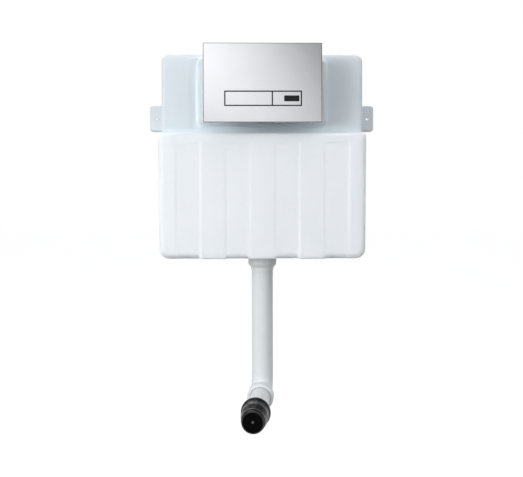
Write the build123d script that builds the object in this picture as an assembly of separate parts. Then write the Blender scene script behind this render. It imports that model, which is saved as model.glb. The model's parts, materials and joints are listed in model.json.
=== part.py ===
from build123d import *
import math
import os

# A concealed dual-flush cistern with its flush plate, flush pipe and pan connector, in millimetres.
# The origin is the middle of the two wall fixings, on the wall plane Y = 0. +X is to the viewer's right,
# the front faces -Y and +Z is up.

# Cistern tank
tank_half_width = 224.0
tank_floor_half_width = 222.0
upper_half_width = 222.5
tank_top = 128.0
shelf_z = -50.0
tank_bottom = -320.0
upper_front = -100.0
lower_front = -140.0
tank_wall = 3.5
top_corner = 16.0
floor_corner = 22.0
upper_rounding = 8.0
lower_rounding = 12.5
shelf_rounding = 5.0
chamber_overlap = 45.0

# Recessed panels and the three flush ribs of the lower chamber, whose edges are gentle slopes. The width of
# a panel or rib is taken at the middle of its slope
panel_half_width = 185.5
panel_top = -72.5
panel_depth = 1.5
panel_slope = 4.0
rib_width = 53.0
rib_centres = (-106.0, 0.0, 106.0)

# Raised platform of the upper chamber, in a dished moat, and the service opening in it
platform_half_width = 143.5
platform_low = -29.5
platform_high = 117.5
platform_front = -110.0
platform_corner = 12.0
platform_rounding = 9.0
moat_depth = 4.0
moat_foot = 1.0
moat_side = 17.0
moat_below = 13.0
moat_above = 2.5
opening_half_width = 90.0
opening_low = -4.0
opening_high = 92.0
opening_corner = 8.0

# Wall fixing lugs
lug_reach = 265.5
lug_half_height = 30.5
lug_depth = 10.0
lug_corner = 8.0
lug_rounding = 2.5
fixing_spacing = 500.0
fixing_hole_radius = 3.0

# Service shroud between tank and finished wall
shroud_half_width = 104.0
shroud_low = -12.0
shroud_high = 100.0
shroud_wall = 2.5
shroud_front = -160.0
shroud_corner = 6.0
shroud_flange_side = 10.0
shroud_flange_above = 8.0
shroud_flange_thickness = 3.0
shroud_screw_x = 109.0
shroud_screw_z = (14.0, 74.0)
shroud_screw_radius = 2.0
stud_places_x = (-96.0, 96.0)
stud_places_z = (8.0, 80.0)
stud_radius = 3.0
stud_head_radius = 4.6
frame_front = -164.0
frame_margin = 4.0
frame_window_half_width = 91.0
frame_window_inset = 5.0
frame_lip = 1.8
frame_lip_length = 10.0
guard_half_width = 90.0
guard_low = -6.0
guard_high = 94.0
guard_front = -126.0
guard_wall = 2.0
grip_half_width = 25.0
grip_low = 66.0
grip_thickness = 3.0
grip_reach = 6.0

# Flush plate and its two buttons
plate_width = 246.4
plate_height = 164.0
plate_middle_z = 48.8
plate_front = -175.0
plate_depth = 9.0
plate_skin = 2.0
plate_corner = 1.2
plate_edge = 0.8
clip_x = 108.7
clip_thickness = 3.0
clip_half_height = 7.0
clip_places_z = (30.0, 68.0)
window_left = -79.4
window_right = 81.6
window_low = 0.2
window_high = 32.2
window_corner = 1.2
bezel_wall = 2.1
bezel_ear = 6.0
bezel_back = -152.0
bezel_floor = 2.0
button_gap = 0.3
button_divide = 20.1
button_divide_wall = 1.5
button_skin = 2.5
button_skirt = 11.5
button_wall = 1.5
button_corner = 0.8
button_edge = 0.3
stem_radius = 3.0
insert_low_x = 44.6
insert_high_x = 76.1
insert_low_z = 9.9
insert_high_z = 22.2
insert_corner = 1.5
insert_thickness = 1.0
spring_coils = 4
spring_wire = 1.2
spring_radius = 5.2

# Flush levers
lever_axle_y = -110.0
lever_pad_drop = 22.0
lever_reach = 45.0
lever_axle_radius = 2.5
lever_bore_radius = 2.55
hub_radius = 5.5
push_rod_radius = 4.0
pad_half = 1.5
pad_radius = 7.0
pad_stalk = 6.0
arm_thickness = 4.0
arm_tip_radius = 3.0
full_arm_x = -14.0
half_arm_x = 14.0
cheek_thickness = 3.0
full_cheek_x = -43.0
half_cheek_x = 60.0
cheek_boss_radius = 8.0
bracket_ring = 3.0
bracket_front = -112.0
bracket_depth = 14.0
axle_overhang = 2.0
hook_pin_radius = 2.0
hook_pin_length = 8.0
hook_plate_x = 18.3
hook_plate_thickness = 2.5
eye_half_width = 7.0
eye_half_height = 6.0
eye_slot_half_width = 4.5
lift_rod_radius = 2.0

# Flush valve, outlet and flush pipe
pipe_axis_y = -65.0
pipe_radius = 24.0
pipe_wall = 2.0
fit_gap = 0.06
outlet_hole_radius = 30.0
outlet_bore = 20.0
outlet_thread_radius = 29.5
outlet_thread_length = 16.0
washer_radius = 31.0
washer_thickness = 2.5
seal_depth = 6.0
seal_edge = 1.5
seal_play = 0.4
nut_radius = 31.85
nut_shoulder = 18.0
nut_neck = 26.0
nut_length = 31.5
nut_grips = 12
nut_grip_radius = 2.0
pipe_top = 5.0
pipe_turn_z = -626.4
pipe_bend_radius = 34.0
bell_radius = 28.9
bell_mouth = 50.0
bell_length = 19.0
outlet_turn = -6.5
basket_radius = 36.0
basket_wall = 2.5
basket_windows = 6
basket_window_width = 24.0
basket_window_foot = 10.0
basket_window_head = 66.0
basket_vents = 4
basket_vent_radius = 5.0
overflow_radius = 14.0
overflow_wall = 1.8
slide_play = 0.5
overflow_top = 8.0
overflow_ear_low = -22.0
gasket_thickness = 3.0
gasket_radius = 40.0
seat_flange_radius = 42.0
seal_disc_radius = 28.0
seal_disc_gap = 0.3
seal_disc_top = 3.3
half_sleeve_radius = 34.0
half_sleeve_low = -180.0
half_sleeve_top = -120.0
basket_top = -190.0

# Pan connector on the flush pipe's spigot, measured ahead of the pipe axis
pan_spigot_radius = 22.0
connector_back = 122.0
rim_back = 132.5
rim_front = 136.0
rim_radius = 30.5
pan_inlet_radius = 27.5
band_back = 144.0
band_front = 159.0
bead_back = 174.0
bead_front = 178.5
bead_radius = 24.3
lip_back = 182.0
lip_radius = 22.9
lip_groove_radius = 21.6
connector_nose = 186.0
plug_radius = 20.0
plug_wall = 1.5
plug_depth = 13.0
plug_recess = 2.5
nib_radius = 3.0
spigot_back = 36.5
spigot_front = 155.0
seal_groove_back = 38.0
seal_groove_front = 46.0
seal_groove_radius = 26.0

# Water supply
inlet_x = 60.0
inlet_y = -40.0
inlet_radius = 10.48
inlet_hole_radius = 10.7
inlet_bore = 7.5
inlet_foot = 98.0
inlet_top = 160.0
inlet_undercut = 136.0
inlet_flange_radius = 15.0
inlet_flange_thickness = 4.0
inlet_washer_thickness = 3.0
locknut_height = 7.0
locknut_flats = 28.0
blanking_plug_flats = 22.0
blanking_plug_head = 6.0
stop_valve_radius = 13.0
stop_valve_bore = 5.0
stop_knob_z = 84.0
stop_knob_radius = 11.0
stop_knob_length = 12.5
stop_boss_radius = 8.5
stop_boss_front = -60.0
hose_radius = 6.0
hose_top = 70.0
hose_end_x = -100.0
hose_end_z = 36.0
fill_x = -130.0
fill_y = -40.0
fill_shank_radius = 11.0
fill_foot = -95.0
fill_head_low = 46.0
fill_head_high = 62.0
fill_cap_x = -124.0
fill_cap_radius = 15.0
fill_cap_height = 14.0
fill_cap_ribs = 12
bracket_low = 20.0
bracket_high = 28.0
float_pin_radius = 1.5
float_pivot_x = -150.0
float_pivot_z = 60.0
float_arm = 40.0
float_rod_x = -189.4
float_travel = 20.0
float_low = -70.0
float_high = -10.0
float_half_width = 22.0
float_wall = 1.6
float_eye_radius = 14.5
float_eye_height = 8.0

# Values worked out from those above
button_middle_z = (window_low + window_high) / 2
button_low = window_low + bezel_wall + button_gap
button_high = window_high - bezel_wall - button_gap
full_low_x = window_left + bezel_wall + button_gap
full_high_x = button_divide - button_divide_wall / 2 - button_gap
half_low_x = button_divide + button_divide_wall / 2 + button_gap
half_high_x = window_right - bezel_wall - button_gap
full_middle_x = (full_low_x + full_high_x) / 2
half_middle_x = (half_low_x + half_high_x) / 2
lever_axle_z = button_middle_z + lever_pad_drop
stem_back = bezel_back + 4.0
seat_floor = tank_bottom + tank_wall
seat_flange_top = seat_floor + gasket_thickness + 4
seat_lip_top = seat_flange_top + 3.5
float_swing = math.degrees(math.asin(float_travel / 2 / float_arm))


def rectangle(x_low, x_high, z_low, z_high, corner=0.0):
    """A front-view rectangle, with rounded corners where a radius is given."""
    width = x_high - x_low
    height = z_high - z_low
    shape = RectangleRounded(width, height, corner) if corner else Rectangle(width, height)
    return Pos((x_low + x_high) / 2, (z_low + z_high) / 2) * shape


def slab(outline, y_front, y_back):
    """A front-view outline made solid from y_back forward to y_front."""
    return extrude(Plane.XZ.offset(-y_back) * outline, amount=y_back - y_front)


def block(x_low, x_high, y_low, y_high, z_low, z_high):
    middle = Pos((x_low + x_high) / 2, (y_low + y_high) / 2, (z_low + z_high) / 2)
    return middle * Box(x_high - x_low, y_high - y_low, z_high - z_low)


def post(x, y, radius, z_low, z_high):
    """A round bar along Z."""
    return Pos(x, y, z_low) * extrude(Circle(radius), amount=z_high - z_low)


def pin(x, z, radius, y_front, y_back):
    """A round bar along Y."""
    return slab(Pos(x, z) * Circle(radius), y_front, y_back)


def axle(y, z, radius, x_low, x_high):
    """A round bar along X."""
    return extrude(Plane.YZ.offset(x_low) * Pos(y, z) * Circle(radius), amount=x_high - x_low)


def side_prism(points, x_low, x_high):
    """A (y, z) outline made solid along X."""
    outline = make_face(Polyline(*points, close=True))
    return extrude(Plane.YZ.offset(x_low) * outline, amount=x_high - x_low)


def turned(points, x=0.0, y=0.0):
    """A closed (radius, z) outline revolved about the vertical axis through (x, y)."""
    outline = make_face(Polyline(*points, close=True))
    return Pos(x, y, 0) * revolve(Plane.XZ * outline, Axis.Z)


def front_rounded(body, radius):
    """Rounds every edge of a slab's front face."""
    return fillet(body.faces().sort_by(Axis.Y)[0].edges(), radius)


# Tank


def lower_chamber():
    outline = make_face(
        Polyline(
            (-tank_half_width, shelf_z),
            (-tank_floor_half_width, tank_bottom),
            (tank_floor_half_width, tank_bottom),
            (tank_half_width, shelf_z),
            close=True,
        )
    )
    outline = fillet(outline.vertices().sort_by(Axis.Y)[:2], floor_corner)
    body = slab(outline, lower_front, 0)
    front_edges = body.faces().sort_by(Axis.Y)[0].edges()
    body = fillet(front_edges.sort_by(Axis.Z)[:-1], lower_rounding)
    top_edges = body.faces().sort_by(Axis.Z)[-1].edges()
    return fillet(top_edges.sort_by(Axis.Y)[:-1], shelf_rounding)


def panel_cutter():
    """What is taken off the front of the lower chamber to leave its recessed, round-bottomed field."""
    recessed = lower_front + panel_depth
    deep_half = panel_half_width - panel_slope / 2
    deep_top = panel_top - panel_slope / 2
    beyond = tank_bottom - 2 * lower_rounding
    behind = lower_front + 2 * lower_rounding
    deep = rectangle(-deep_half, deep_half, beyond, deep_top)
    open_half = deep_half + 2 * panel_slope
    wide = rectangle(-open_half, open_half, beyond, deep_top + 2 * panel_slope)
    sloped = loft([Plane.XZ.offset(-recessed) * deep, Plane.XZ.offset(panel_depth - lower_front) * wide])
    field = block(-deep_half, deep_half, lower_front - panel_depth, behind, beyond, deep_top)
    kept = make_face(
        Polyline(
            (recessed, tank_bottom),
            (recessed, deep_top + 10),
            (behind + 10, deep_top + 10),
            (behind + 10, tank_bottom),
            close=True,
        )
    )
    kept = fillet(kept.vertices().sort_by(Axis.Y)[:2].sort_by(Axis.X)[:1], lower_rounding)
    kept = extrude(Plane.YZ.offset(-panel_half_width) * kept, amount=2 * panel_half_width)
    return sloped + (field - kept)


def front_rib(x):
    """A rib that stands flush with the chamber's front and runs square down to the floor."""
    recessed = lower_front + panel_depth
    foot = (rib_width + panel_slope) / 2
    crest = (rib_width - panel_slope) / 2
    back = lower_front + 2 * lower_rounding
    plan = make_face(
        Polyline(
            (x - foot, back),
            (x - foot, recessed),
            (x - crest, lower_front),
            (x + crest, lower_front),
            (x + foot, recessed),
            (x + foot, back),
            close=True,
        )
    )
    return Pos(0, 0, tank_bottom) * extrude(plan, amount=panel_top + panel_slope - tank_bottom)


def platform_outline(beside, below, above, corner):
    """The platform's front-view outline, let out by what is asked on each side."""
    half = platform_half_width + beside
    return rectangle(-half, half, platform_low - below, platform_high + above, corner)


def moat(chamber_front):
    """The dish round the platform's foot, cut from a chamber whose front is at chamber_front."""
    foot = platform_outline(moat_foot, moat_foot, moat_foot, platform_corner)
    mouth = platform_outline(
        2 * moat_side - moat_foot,
        2 * moat_below - moat_foot,
        2 * moat_above - moat_foot,
        platform_corner + moat_side,
    )
    return loft(
        [
            Plane.XZ.offset(-chamber_front - moat_depth) * foot,
            Plane.XZ.offset(-chamber_front + moat_depth) * mouth,
        ]
    )


def upper_chamber():
    low = shelf_z - chamber_overlap
    body = slab(rectangle(-upper_half_width, upper_half_width, low, tank_top, top_corner), upper_front, 0)
    return front_rounded(body, upper_rounding) - moat(upper_front)


def platform():
    outline = platform_outline(0, 0, 0, platform_corner)
    return front_rounded(slab(outline, platform_front, upper_front + 2 * moat_depth), platform_rounding)


def wall_lug(side):
    inner = upper_half_width - 12
    low, high = sorted((side * inner, side * lug_reach))
    body = slab(rectangle(low, high, -lug_half_height, lug_half_height, lug_corner), -lug_depth, 0)
    body = front_rounded(body, lug_rounding)
    return body - pin(side * fixing_spacing / 2, 0, fixing_hole_radius, -lug_depth - 1, 1)


def water_space():
    """The tank's hollow, one wall thickness inside its outer form."""
    outline = make_face(
        Polyline(
            (-tank_half_width + tank_wall, shelf_z - tank_wall),
            (-tank_floor_half_width + tank_wall, tank_bottom + tank_wall),
            (tank_floor_half_width - tank_wall, tank_bottom + tank_wall),
            (tank_half_width - tank_wall, shelf_z - tank_wall),
            close=True,
        )
    )
    outline = fillet(outline.vertices().sort_by(Axis.Y)[:2], floor_corner - tank_wall)
    lower = slab(outline, lower_front + panel_depth + tank_wall, -tank_wall)
    front_edges = lower.faces().sort_by(Axis.Y)[0].edges()
    lower = fillet(front_edges.sort_by(Axis.Z)[:-1], lower_rounding - tank_wall)
    half = upper_half_width - tank_wall
    low = shelf_z - chamber_overlap
    upper_inner_front = upper_front + tank_wall
    outline = rectangle(-half, half, low, tank_top - tank_wall, top_corner - tank_wall)
    upper = slab(outline, upper_inner_front, -tank_wall) - moat(upper_inner_front)
    raised = platform_outline(-tank_wall, -tank_wall, -tank_wall, platform_corner - tank_wall)
    raised = slab(raised, platform_front + tank_wall, upper_inner_front + 2 * moat_depth)
    return lower + upper + front_rounded(raised, platform_rounding - tank_wall)


def tank_shell():
    body = lower_chamber() - panel_cutter()
    for x in rib_centres:
        body += front_rib(x)
    body += upper_chamber() + platform() + wall_lug(-1) + wall_lug(1)
    body -= water_space()
    opening = rectangle(-opening_half_width, opening_half_width, opening_low, opening_high, opening_corner)
    body -= slab(opening, platform_front - 5, upper_front + 5)
    body -= post(0, pipe_axis_y, outlet_hole_radius, tank_bottom - 5, tank_bottom + 10)
    for x in (-inlet_x, inlet_x):
        body -= post(x, inlet_y, inlet_hole_radius, tank_top - 10, tank_top + 5)
    for x in (-shroud_screw_x, shroud_screw_x):
        for z in shroud_screw_z:
            body -= pin(x, z, shroud_screw_radius, platform_front - 1, platform_front + 2 * tank_wall)
    for x in stud_places_x:
        for z in stud_places_z:
            body -= pin(x, z, stud_radius, platform_front - 1, platform_front + 2 * tank_wall)
    return body


# Service shroud, splash guard and plate frame


def shroud_outline(beside, above, corner):
    """The shroud's front-view outline, let out by what is asked beside it and above and below it."""
    half = shroud_half_width + beside
    return rectangle(-half, half, shroud_low - above, shroud_high + above, corner)


def service_shroud():
    outer = shroud_outline(0, 0, shroud_corner)
    inner = shroud_outline(-shroud_wall, -shroud_wall, shroud_corner - shroud_wall)
    edge = shroud_outline(shroud_flange_side, shroud_flange_above, shroud_flange_above)
    flange_front = platform_front - shroud_flange_thickness
    body = slab(outer, shroud_front, platform_front) + slab(edge, flange_front, platform_front)
    body -= slab(inner, shroud_front - 1, platform_front + 1)
    for x in (-shroud_screw_x, shroud_screw_x):
        for z in shroud_screw_z:
            body -= pin(x, z, shroud_screw_radius + 0.2, flange_front - 1, platform_front + 1)
    return body


def screw(x, z, radius, head_radius, y_under_head, length, head_height):
    """A slotted screw that points into the wall."""
    body = pin(x, z, radius, y_under_head, y_under_head + length)
    body += pin(x, z, head_radius, y_under_head - head_height, y_under_head)
    face = y_under_head - head_height
    slot_half = 0.6
    return body - block(x - head_radius, x + head_radius, face - 1, face + 1, z - slot_half, z + slot_half)


def shroud_screws():
    under_head = platform_front - shroud_flange_thickness
    length = shroud_flange_thickness + tank_wall + 2.5
    return [
        screw(x, z, shroud_screw_radius, 2 * shroud_screw_radius, under_head, length, 2.4)
        for x in (-shroud_screw_x, shroud_screw_x)
        for z in shroud_screw_z
    ]


def plate_frame():
    """The mounting frame that closes the shroud's front and carries the flush plate."""
    lip_inset = shroud_wall + 0.2
    window_inset = shroud_half_width - frame_window_half_width
    outer = shroud_outline(frame_margin, frame_margin, shroud_corner)
    window = shroud_outline(-window_inset, -frame_window_inset, shroud_corner)
    lip_outer = shroud_outline(-lip_inset, -lip_inset, 3)
    lip_inner = shroud_outline(-lip_inset - frame_lip, -lip_inset - frame_lip, 2)
    lip_back = shroud_front + frame_lip_length
    body = slab(outer, frame_front, shroud_front) - slab(window, frame_front - 1, shroud_front + 1)
    body += slab(lip_outer, shroud_front, lip_back) - slab(lip_inner, shroud_front - 1, lip_back + 1)
    for x in stud_places_x:
        for z in stud_places_z:
            body -= pin(x, z, stud_radius + 0.2, frame_front - 1, shroud_front + 1)
    return body


def frame_studs():
    """Long threaded studs from the tank's face, each with its clamping head on the plate frame."""
    length = platform_front + tank_wall - frame_front
    return [
        screw(x, z, stud_radius, stud_head_radius, frame_front, length, 3.5)
        for x in stud_places_x
        for z in stud_places_z
    ]


def inner_cover():
    """The splash guard: a shallow tray with a hole for each push rod and a finger grip."""
    outer = rectangle(-guard_half_width, guard_half_width, guard_low, guard_high, 3)
    half = guard_half_width - guard_wall
    inner = rectangle(-half, half, guard_low + guard_wall, guard_high - guard_wall, 1.5)
    body = slab(outer, guard_front, bracket_front - 0.4)
    body -= slab(inner, guard_front + guard_wall, platform_front)
    for x in (full_middle_x, half_middle_x):
        body -= pin(x, button_middle_z, push_rod_radius + 1, guard_front - 1, guard_front + guard_wall + 1)
    grip = rectangle(-grip_half_width, grip_half_width, grip_low, grip_low + grip_thickness)
    return body + slab(grip, guard_front - grip_reach, guard_front)


# Flush plate and buttons


def flush_plate():
    half = plate_width / 2
    low = plate_middle_z - plate_height / 2
    high = plate_middle_z + plate_height / 2
    plate_back = plate_front + plate_depth
    body = slab(rectangle(-half, half, low, high, plate_corner), plate_front, plate_back)
    body = front_rounded(body, plate_edge)
    skin = plate_skin
    hollow = rectangle(-half + skin, half - skin, low + skin, high - skin)
    body -= slab(hollow, plate_front + skin, plate_back + 1)
    window = rectangle(window_left, window_right, window_low, window_high, window_corner)
    body -= slab(window, plate_front - 1, plate_back + 1)
    for side in (-1, 1):
        across = sorted((side * clip_x, side * (clip_x + clip_thickness)))
        for z in clip_places_z:
            along = (plate_front + skin, shroud_front + 1.5)
            body += block(*across, *along, z - clip_half_height, z + clip_half_height)
    return body


def button_bezel():
    """The black carrier: its thin rim frames both buttons, and its closed back holds their springs."""
    outer = rectangle(window_left, window_right, window_low, window_high, window_corner)
    body = slab(outer, plate_front, bezel_back)
    ears = rectangle(
        window_left - bezel_ear,
        window_right + bezel_ear,
        window_low - bezel_ear,
        window_high + bezel_ear,
        2 * window_corner,
    )
    body += slab(ears, plate_front + plate_skin, plate_front + 2 * plate_skin)
    well_low = window_low + bezel_wall
    well_high = window_high - bezel_wall
    wells = (
        (window_left + bezel_wall, button_divide - button_divide_wall / 2, full_middle_x),
        (button_divide + button_divide_wall / 2, window_right - bezel_wall, half_middle_x),
    )
    for low_x, high_x, middle in wells:
        well = rectangle(low_x, high_x, well_low, well_high)
        body -= slab(well, plate_front - 1, bezel_back - bezel_floor)
        body -= pin(middle, button_middle_z, stem_radius + 0.5, bezel_back - 3, bezel_back + 1)
    return body


def button(x_low, x_high):
    """A hollow key with a stem that passes through the carrier's back."""
    outline = rectangle(x_low, x_high, button_low, button_high, button_corner)
    body = slab(outline, plate_front, plate_front + button_skirt)
    body = chamfer(body.faces().sort_by(Axis.Y)[0].edges(), button_edge)
    wall = button_wall
    inside = rectangle(x_low + wall, x_high - wall, button_low + wall, button_high - wall)
    body -= slab(inside, plate_front + button_skin, plate_front + button_skirt + 1)
    middle = (x_low + x_high) / 2
    return body + pin(middle, button_middle_z, stem_radius, plate_front + button_skin, stem_back)


def full_flush_button():
    return button(full_low_x, full_high_x)


def button_insert():
    """The black inlay that lies flush in the half-flush button."""
    outline = rectangle(insert_low_x, insert_high_x, insert_low_z, insert_high_z, insert_corner)
    return slab(outline, plate_front, plate_front + insert_thickness)


def half_flush_button():
    return button(half_low_x, half_high_x) - button_insert()


def button_spring(x):
    """A compression spring round a button's stem, between the key and the carrier's back."""
    play = 0.4
    rise = bezel_back - bezel_floor - (plate_front + button_skin) - 2 * play - spring_wire
    path = Helix(pitch=rise / spring_coils, height=rise, radius=spring_radius)
    section = Plane(origin=path @ 0, z_dir=path % 0) * Rectangle(spring_wire, spring_wire)
    coil = sweep(section, path=path, is_frenet=True)
    foot = bezel_back - bezel_floor - play - spring_wire / 2
    return Pos(x, foot, button_middle_z) * Rot(90, 0, 0) * coil


def push_rod(x):
    """A rod from the button's stem, which it cups, to just short of its lever's pad."""
    ball_y = lever_axle_y - pad_half - 0.5 - push_rod_radius
    cup_depth = 3
    body = pin(x, button_middle_z, push_rod_radius, stem_back, ball_y)
    body += Pos(x, ball_y, button_middle_z) * Sphere(push_rod_radius)
    body += pin(x, button_middle_z, push_rod_radius + 1, stem_back - cup_depth, stem_back + cup_depth)
    return body - pin(x, button_middle_z, stem_radius, stem_back - cup_depth - 1, stem_back)


# Levers


def actuator_bracket():
    """The lever carrier: a ring that fits the service opening, with two cheeks for the axle."""
    edge = rectangle(-opening_half_width, opening_half_width, opening_low, opening_high, opening_corner)
    half = opening_half_width - bracket_ring
    hole_low = opening_low + bracket_ring
    hole_high = opening_high - bracket_ring
    hole = rectangle(-half, half, hole_low, hole_high, opening_corner - bracket_ring)
    back = bracket_front + bracket_depth
    body = slab(edge, bracket_front, back) - slab(hole, bracket_front - 1, back + 1)
    for x in (full_cheek_x, half_cheek_x):
        cheek = block(x, x + cheek_thickness, bracket_front, back - 3, hole_low - 2, hole_high + 2)
        cheek += axle(lever_axle_y, lever_axle_z, cheek_boss_radius, x, x + cheek_thickness)
        body += cheek - axle(lever_axle_y, lever_axle_z, lever_axle_radius, x - 1, x + cheek_thickness + 1)
    return body


def lever_axle():
    low = full_cheek_x - axle_overhang
    high = half_cheek_x + cheek_thickness + axle_overhang
    return axle(lever_axle_y, lever_axle_z, lever_axle_radius, low, high)


def lever(hub_low, hub_high, pad_x, arm_x, pin_side):
    """A bell crank: the pad below the axle takes the push rod, and the rear arm lifts a rod by its pin."""
    body = axle(lever_axle_y, lever_axle_z, hub_radius, hub_low, hub_high)
    pad_z = lever_axle_z - lever_pad_drop
    pad_front = lever_axle_y - pad_half
    pad_back = lever_axle_y + pad_half
    body += block(pad_x - pad_stalk / 2, pad_x + pad_stalk / 2, pad_front, pad_back, pad_z, lever_axle_z)
    body += pin(pad_x, pad_z, pad_radius, pad_front, pad_back)
    tip_y = lever_axle_y + lever_reach
    arm_low = arm_x - arm_thickness / 2
    arm_high = arm_x + arm_thickness / 2
    body += side_prism(
        [
            (lever_axle_y, lever_axle_z - hub_radius),
            (lever_axle_y, lever_axle_z + hub_radius),
            (tip_y, lever_axle_z + arm_tip_radius),
            (tip_y, lever_axle_z - arm_tip_radius),
        ],
        arm_low,
        arm_high,
    )
    body += axle(tip_y, lever_axle_z, arm_tip_radius, arm_low, arm_high)
    pin_low, pin_high = sorted((arm_x, arm_x + pin_side * hook_pin_length))
    body += axle(tip_y, lever_axle_z, hook_pin_radius, pin_low, pin_high)
    return body - axle(lever_axle_y, lever_axle_z, lever_bore_radius, hub_low - 1, hub_high + 1)


def full_lever():
    hub_low = full_cheek_x + cheek_thickness + 3
    return lever(hub_low, full_arm_x + 5, full_middle_x, full_arm_x, -1)


def half_lever():
    return lever(half_arm_x - 5, half_cheek_x - 3, half_middle_x, half_arm_x, 1)


def lift_rod(side, z_low):
    """A rod with an eye at its top, wide enough for the lever's pin to swing in."""
    x = side * hook_plate_x
    half = hook_plate_thickness / 2
    front = pipe_axis_y - eye_half_width
    back = pipe_axis_y + eye_half_width
    eye_low = lever_axle_z - eye_half_height
    eye = block(x - half, x + half, front, back, eye_low, lever_axle_z + eye_half_height)
    eye = fillet(eye.edges().filter_by(Axis.X), eye_half_height / 2)
    slot_half = hook_pin_radius + 0.5
    eye -= block(
        x - hook_plate_thickness,
        x + hook_plate_thickness,
        pipe_axis_y - eye_slot_half_width,
        pipe_axis_y + eye_slot_half_width,
        lever_axle_z - slot_half,
        lever_axle_z + slot_half,
    )
    return eye + post(x, pipe_axis_y, lift_rod_radius, z_low, eye_low + 2)


def full_lift_rod():
    return lift_rod(-1, overflow_ear_low - 3)


def half_lift_rod():
    return lift_rod(1, half_sleeve_top)


# Flush valve


def outlet_gasket():
    top = seat_floor + gasket_thickness
    ring = post(0, pipe_axis_y, gasket_radius, seat_floor, top)
    return ring - post(0, pipe_axis_y, outlet_thread_radius, seat_floor - 1, top + 1)


def valve_seat():
    """The threaded outlet of the flush valve, with its sealing lip inside the tank."""
    flange_low = seat_floor + gasket_thickness
    end = tank_bottom - outlet_thread_length
    return turned(
        [
            (outlet_bore, seat_lip_top),
            (outlet_bore, tank_bottom),
            (pipe_radius + fit_gap, tank_bottom - 3),
            (pipe_radius + fit_gap, end),
            (outlet_thread_radius, end),
            (outlet_thread_radius, flange_low),
            (seat_flange_radius, flange_low),
            (seat_flange_radius, seat_flange_top),
            (outlet_bore + 4, seat_flange_top),
            (outlet_bore + 2, seat_lip_top),
        ],
        0,
        pipe_axis_y,
    )


def outlet_washer():
    low = tank_bottom - washer_thickness
    ring = post(0, pipe_axis_y, washer_radius, low, tank_bottom)
    return ring - post(0, pipe_axis_y, outlet_thread_radius, low - 1, tank_bottom + 1)


def outlet_nut():
    """The cap nut that clamps the outlet under the tank and closes round the flush pipe."""
    top = tank_bottom - washer_thickness
    shoulder = tank_bottom - nut_shoulder
    neck = tank_bottom - nut_neck
    end = tank_bottom - nut_length
    thread_end = tank_bottom - outlet_thread_length
    bore = pipe_radius + seal_play
    body = turned(
        [
            (outlet_thread_radius, top),
            (nut_radius, top),
            (nut_radius, shoulder),
            (bore + 1, neck),
            (bore + 1, end),
            (bore, end),
            (bore, thread_end - seal_depth),
            (outlet_thread_radius, thread_end - seal_edge),
        ],
        0,
        pipe_axis_y,
    )
    for turn in range(nut_grips):
        grip = post(nut_radius + 0.6 * nut_grip_radius, 0, nut_grip_radius, shoulder + 1, top + 1)
        body -= Pos(0, pipe_axis_y, 0) * Rot(0, 0, (turn + 0.5) * 360 / nut_grips) * grip
    return body


def pipe_seal():
    """The rubber ring squeezed between the outlet's end and the nut's cone."""
    top = tank_bottom - outlet_thread_length
    return turned(
        [
            (pipe_radius + seal_play, top),
            (outlet_thread_radius, top),
            (outlet_thread_radius, top - seal_edge),
            (pipe_radius + seal_play, top - seal_depth),
        ],
        0,
        pipe_axis_y,
    )


def valve_basket():
    """The caged body of the flush valve, with arched windows and a guide ring for the overflow tube."""
    inside = basket_radius - basket_wall
    ceiling = basket_top - basket_wall
    guide = overflow_radius + slide_play
    guide_low = basket_top - 12
    body = turned(
        [
            (inside, seat_flange_top),
            (basket_radius, seat_flange_top),
            (basket_radius, basket_top),
            (guide, basket_top),
            (guide, guide_low),
            (guide + 2, guide_low),
            (guide + 2, ceiling),
            (inside, ceiling),
        ],
        0,
        pipe_axis_y,
    )
    window_foot = seat_flange_top + basket_window_foot
    window_head = seat_flange_top + basket_window_head
    half = basket_window_width / 2
    for turn in range(basket_windows):
        window = block(inside - 4, basket_radius + 1, -half, half, window_foot, window_head)
        body -= Pos(0, pipe_axis_y, 0) * Rot(0, 0, turn * 360 / basket_windows) * window
    for turn in range(basket_vents):
        vent_place = (basket_radius + overflow_radius) / 2
        vent = post(vent_place, 0, basket_vent_radius, ceiling - 1, basket_top + 1)
        body -= Pos(0, pipe_axis_y, 0) * Rot(0, 0, (turn + 0.5) * 360 / basket_vents) * vent
    return body


def overflow_tube():
    """The moving stem: an open tube with the seal's carrier at its foot and a flared, bridged top."""
    inner = overflow_radius - overflow_wall
    foot = seat_lip_top + seal_disc_top
    body = turned(
        [
            (inner, foot),
            (seal_disc_radius + 2, foot),
            (seal_disc_radius + 2, foot + 2.5),
            (overflow_radius + 5, foot + 6),
            (overflow_radius, foot + 12),
            (overflow_radius, overflow_top - 6),
            (overflow_radius + 1.2, overflow_top),
            (inner + 1.2, overflow_top),
            (inner, overflow_top - 6),
        ],
        0,
        pipe_axis_y,
    )
    low = overflow_ear_low
    ear = block(-hook_plate_x - 4, -inner - 0.5, pipe_axis_y - 4, pipe_axis_y + 4, low, low + 8)
    return body + ear - post(-hook_plate_x, pipe_axis_y, lift_rod_radius, low - 1, low + 9)


def valve_seal():
    low = seat_lip_top + seal_disc_gap
    high = seat_lip_top + seal_disc_top
    disc = post(0, pipe_axis_y, seal_disc_radius, low, high)
    return disc - post(0, pipe_axis_y, overflow_radius - overflow_wall, low - 1, high + 1)


def half_flush_sleeve():
    """The float cup that slides on the overflow tube and ends a half flush early."""
    wall = 2
    guide = overflow_radius + slide_play
    ceiling = half_sleeve_top - wall
    return turned(
        [
            (guide, half_sleeve_low),
            (guide + wall, half_sleeve_low),
            (guide + wall, ceiling),
            (half_sleeve_radius - wall, ceiling),
            (half_sleeve_radius - wall, half_sleeve_low),
            (half_sleeve_radius, half_sleeve_low),
            (half_sleeve_radius, half_sleeve_top),
            (guide, half_sleeve_top),
        ],
        0,
        pipe_axis_y,
    )


# Flush pipe, spigot and pan connector


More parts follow.
